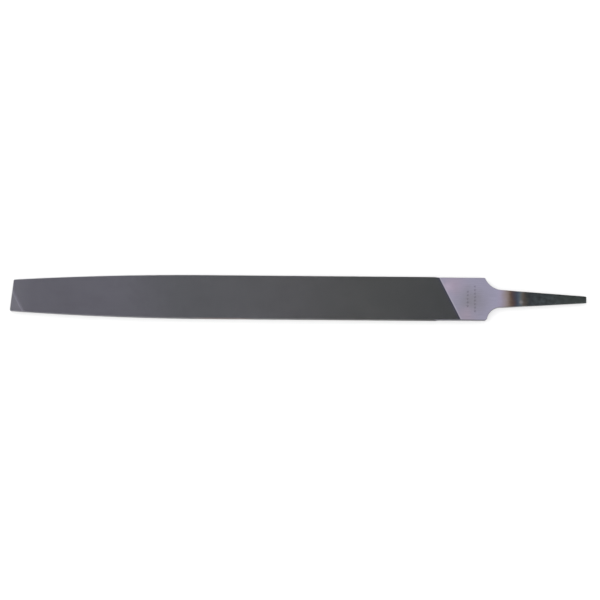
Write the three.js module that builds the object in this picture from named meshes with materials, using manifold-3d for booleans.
// A single-cut flat file for metalwork, without a handle. Lengths are in millimetres and angles in degrees.
// The bar is one forging, built as its three zones, which meet face to face:
//   toothed_blade  the hardened body, with a row of chisel-cut teeth on each face
//   heel           the smooth ground between the teeth and the tang, with its two hollow shoulders
//   tang           the soft tapered spike that a handle is driven onto
// +X runs towards the tang and +Z is up. The origin is on the underside, in the middle of the shoulder line,
// where a file's length is measured from. Every shape below is drawn about the bar's middle plane.
import * as THREE from "three";
import { mergeVertices } from "three/addons/utils/BufferGeometryUtils.js";
import Module from "manifold-3d";

const wasm = await Module();
wasm.setup();

// The bar
const LENGTH = 304.8; // from the shoulder line to the point: a nominal 12 inches
const WIDTH = 28; // of the toothed body, where it is parallel
const HEEL_WIDTH = 27.4;
const THICKNESS = 5; // over the crests of the teeth
const TAPER_LENGTH = 124.8; // the stretch behind the point where width and thickness shrink
const POINT_WIDTH = 20.2;
const POINT_THICKNESS = 3.8;
const POINT_SKEW = 5.7; // the point's end face leans this far from square
const POINT_CORNER = 0.7; // how far the point's two corners are rounded, seen from above

// The teeth
const TOOTH_PITCH = 0.65; // along the bar, 39 teeth to the inch
const TOOTH_DEPTH = 0.24;
const TOOTH_ANGLE = 63; // between a tooth's edge and the bar's long axis
const TOOTH_RAKE = 12; // the front of a tooth leans back by this much
const UNCUT_LENGTH = 23.1; // from the shoulder line to the first tooth, along the middle of the bar
const PLAIN_LENGTH = 1.3; // from the last tooth to the point, along the middle: one corner stays plain

// The shoulders and the tang, which sits a little off centre. "Back" is the +Y side and "front" the -Y side.
const TANG_START = 11;
const TANG_END = 64.7;
const ROOT_BACK = 5.85;
const ROOT_FRONT = -5.02;
const END_BACK = 2.37;
const END_FRONT = -1.85;
const END_THICKNESS = 2.3;
const BACK_SHOULDER_RADIUS = 12.4;
const FRONT_SHOULDER_RADIUS = 9;
const FRONT_SHOULDER_END = 9.65; // where the front shoulder's arc runs out into the tang
const FRONT_CORNER = 1.2; // the front shoulder's corner is ground off by this much
const TANG_CHAMFER = 0.7;
const CHAMFER_START = 0.1; // the chamfers start this small at the heel
const CHAMFER_RUN_OUT = 8; // and reach full size over this length
const END_ROUNDING = 0.9; // the last stretch, where the tang narrows to its blunt end

const CURVE_SEGMENTS = 12;
const CUTTER_SPAN = 2 * WIDTH; // the cutting solids reach well past the bar's sides
const CUTTER_OVERRUN = 12; // and past its point
const WELD_DISTANCE = 1e-5; // corners closer than this are one corner

const lean = 1 / Math.tan(THREE.MathUtils.degToRad(TOOTH_ANGLE)); // a tooth's run along X for 1 across
const skew = Math.tan(THREE.MathUtils.degToRad(POINT_SKEW));
const taperStart = TAPER_LENGTH - LENGTH;
const half = WIDTH / 2;
const heelHalf = HEEL_WIDTH / 2;

function solidOf(geometry) {
  const bare = geometry.clone();
  bare.deleteAttribute("normal");
  bare.deleteAttribute("uv");
  const merged = mergeVertices(bare, WELD_DISTANCE);
  const vertProperties = merged.attributes.position.array;
  const triVerts = new Uint32Array(merged.index.array);
  return new wasm.Manifold(new wasm.Mesh({ numProp: 3, vertProperties, triVerts }));
}

function geometryOf(solid) {
  const mesh = solid.getMesh();
  const indexed = new THREE.BufferGeometry();
  indexed.setAttribute("position", new THREE.BufferAttribute(mesh.vertProperties, 3));
  indexed.setIndex(new THREE.BufferAttribute(mesh.triVerts, 1));
  const faceted = indexed.toNonIndexed();
  faceted.computeVertexNormals();
  return faceted;
}

// An outline drawn in plan, as a plate whose middle is the bar's middle plane.
function plate(outline, depth) {
  const options = { depth, curveSegments: CURVE_SEGMENTS, bevelEnabled: false };
  return solidOf(new THREE.ExtrudeGeometry(outline, options).translate(0, 0, -depth / 2));
}

// How far each face has come down from full thickness, at a place along the bar.
function thicknessDrop(x) {
  const share = Math.max((taperStart - x) / TAPER_LENGTH, 0);
  return ((THICKNESS - POINT_THICKNESS) / 2) * share * share;
}

// A profile of height above the middle plane, drawn along the bar and swept across it as the teeth run. Its
// base stays on the middle plane, and the rest comes down towards the point as the bar gets thinner.
function sweepAlongTeeth(profile) {
  const geometry = new THREE.ExtrudeGeometry(profile, { depth: CUTTER_SPAN, bevelEnabled: false });
  geometry.translate(0, 0, -CUTTER_SPAN / 2);
  geometry.applyMatrix4(new THREE.Matrix4().set(1, 0, lean, 0, 0, 0, -1, 0, 0, 1, 0, 0, 0, 0, 0, 1));
  const position = geometry.attributes.position;
  for (let i = 0; i < position.count; i++) {
    const height = position.getZ(i);
    if (height > 0) position.setZ(i, height - thicknessDrop(position.getX(i)));
  }
  return solidOf(geometry);
}

// The underside is the upper side turned over about the bar's long axis.
function turnedOver(solid) {
  return solid.rotate([180, 0, 0]);
}

// Teeth point towards the file's point. Each has a steep front and a long sloping back. Past the last tooth
// the bar is plain, at the height of the teeth's edges.
function toothRow() {
  const crest = THICKNESS / 2;
  const root = crest - TOOTH_DEPTH;
  const frontRun = TOOTH_DEPTH * Math.tan(THREE.MathUtils.degToRad(TOOTH_RAKE));
  const count = Math.floor((LENGTH - PLAIN_LENGTH - UNCUT_LENGTH) / TOOTH_PITCH);
  const rowEnd = -UNCUT_LENGTH - count * TOOTH_PITCH;
  const farEnd = -LENGTH - CUTTER_OVERRUN;
  const profile = new THREE.Shape();
  profile.moveTo(-UNCUT_LENGTH, 0);
  for (let i = 0; i < count; i++) {
    const edge = -UNCUT_LENGTH - i * TOOTH_PITCH;
    profile.lineTo(edge, crest);
    profile.lineTo(edge - frontRun, root);
  }
  profile.lineTo(rowEnd, crest);
  profile.lineTo(farEnd, crest);
  profile.lineTo(farEnd, 0);
  return sweepAlongTeeth(profile);
}

// The ground beyond the first tooth's edge, which the heel leaves to the blade.
function groundBeyondFirstTooth() {
  const end = -UNCUT_LENGTH - CUTTER_SPAN;
  const profile = new THREE.Shape();
  profile.moveTo(-UNCUT_LENGTH, 0);
  profile.lineTo(-UNCUT_LENGTH, THICKNESS);
  profile.lineTo(end, THICKNESS);
  profile.lineTo(end, 0);
  return sweepAlongTeeth(profile);
}

// The body in plan: parallel sides, then a long curve in to the skewed point.
function bodyOutline() {
  const pointHalf = POINT_WIDTH / 2;
  const middle = (taperStart - LENGTH) / 2;
  const pointBack = -LENGTH + skew * pointHalf;
  const pointFront = -LENGTH - skew * pointHalf;
  const outline = new THREE.Shape();
  outline.moveTo(0, -half);
  outline.lineTo(0, half);
  outline.lineTo(taperStart, half);
  outline.quadraticCurveTo(middle, half, pointBack + POINT_CORNER, pointHalf);
  outline.quadraticCurveTo(pointBack, pointHalf, pointBack, pointHalf - POINT_CORNER);
  outline.lineTo(pointFront, -pointHalf + POINT_CORNER);
  outline.quadraticCurveTo(pointFront, -pointHalf, pointFront + POINT_CORNER, -pointHalf);
  outline.quadraticCurveTo(middle, -half, taperStart, -half);
  return outline;
}

// The heel in plan, with hollow arcs that lead from its two shoulders into the tang.
function heelOutline() {
  const backCentre = ROOT_BACK + BACK_SHOULDER_RADIUS;
  const backSweep = Math.acos((backCentre - heelHalf) / BACK_SHOULDER_RADIUS);
  const frontCentre = ROOT_FRONT - FRONT_SHOULDER_RADIUS;
  const cornerY = -heelHalf + FRONT_CORNER;
  const frontSweep = Math.acos((cornerY - frontCentre) / FRONT_SHOULDER_RADIUS);
  const cornerX = FRONT_SHOULDER_END - FRONT_SHOULDER_RADIUS * Math.sin(frontSweep);
  const up = Math.PI / 2;
  const outline = new THREE.Shape();
  outline.moveTo(-CUTTER_SPAN, heelHalf);
  outline.lineTo(-CUTTER_SPAN, -heelHalf);
  outline.lineTo(cornerX - FRONT_CORNER, -heelHalf);
  outline.lineTo(cornerX, cornerY);
  outline.absarc(FRONT_SHOULDER_END, frontCentre, FRONT_SHOULDER_RADIUS, up + frontSweep, up, true);
  outline.lineTo(TANG_START, ROOT_FRONT);
  outline.lineTo(TANG_START, ROOT_BACK);
  outline.absarc(TANG_START, backCentre, BACK_SHOULDER_RADIUS, -up, -up - backSweep, true);
  return outline;
}

// One eight-sided section across the tang, narrowed by "inset" on every side.
function tangSection(x, chamfer, inset) {
  const share = (x - TANG_START) / (TANG_END - TANG_START);
  const back = THREE.MathUtils.lerp(ROOT_BACK, END_BACK, share) - inset;
  const front = THREE.MathUtils.lerp(ROOT_FRONT, END_FRONT, share) + inset;
  const top = THREE.MathUtils.lerp(THICKNESS, END_THICKNESS, share) / 2 - inset;
  const corners = [
    [back, top - chamfer],
    [back - chamfer, top],
    [front + chamfer, top],
    [front, top - chamfer],
    [front, chamfer - top],
    [front + chamfer, -top],
    [back - chamfer, -top],
    [back, chamfer - top],
  ];
  return corners.map(([y, z]) => new THREE.Vector3(x, y, z));
}

// A skin over sections that follow each other along X, closed by a flat face at each end.
function skinOver(sections) {
  const points = [];
  const triangle = (a, b, c) => points.push(a, b, c);
  const sides = sections[0].length;
  for (let s = 0; s + 1 < sections.length; s++) {
    for (let i = 0; i < sides; i++) {
      const j = (i + 1) % sides;
      triangle(sections[s][i], sections[s][j], sections[s + 1][i]);
      triangle(sections[s][j], sections[s + 1][j], sections[s + 1][i]);
    }
  }
  const first = sections[0];
  const last = sections[sections.length - 1];
  for (let i = 1; i + 1 < sides; i++) {
    triangle(first[0], first[i + 1], first[i]);
    triangle(last[0], last[i], last[i + 1]);
  }
  const geometry = new THREE.BufferGeometry().setFromPoints(points);
  geometry.computeVertexNormals();
  return geometry;
}

function makeBlade() {
  const upper = toothRow();
  const bothFaces = upper.add(turnedOver(upper));
  return geometryOf(bothFaces.intersect(plate(bodyOutline(), 2 * THICKNESS)));
}

function makeHeel() {
  const ground = groundBeyondFirstTooth();
  const blank = plate(heelOutline(), THICKNESS);
  return geometryOf(blank.subtract(ground).subtract(turnedOver(ground)));
}

function makeTang() {
  const endInset = END_ROUNDING / 2;
  return skinOver([
    tangSection(TANG_START, CHAMFER_START, 0),
    tangSection(TANG_START + CHAMFER_RUN_OUT, TANG_CHAMFER, 0),
    tangSection(TANG_END - END_ROUNDING, TANG_CHAMFER, 0),
    tangSection(TANG_END, TANG_CHAMFER / 2, endInset),
  ]);
}

const cutSteel = new THREE.MeshStandardMaterial({ color: 0x59595d, roughness: 0.42, metalness: 0.9 });
const groundSteel = new THREE.MeshStandardMaterial({ color: 0x8d8a98, roughness: 0.38, metalness: 0.9 });
const scaledSteel = new THREE.MeshStandardMaterial({ color: 0x3a3f40, roughness: 0.62, metalness: 0.6 });

const file = new THREE.Group();
file.position.z = THICKNESS / 2;

function addZone(name, geometry, material) {
  const zone = new THREE.Mesh(geometry, material);
  zone.name = name;
  file.add(zone);
}

addZone("toothed_blade", makeBlade(), cutSteel);
addZone("heel", makeHeel(), groundSteel);
addZone("tang", makeTang(), scaledSteel);

export default file;
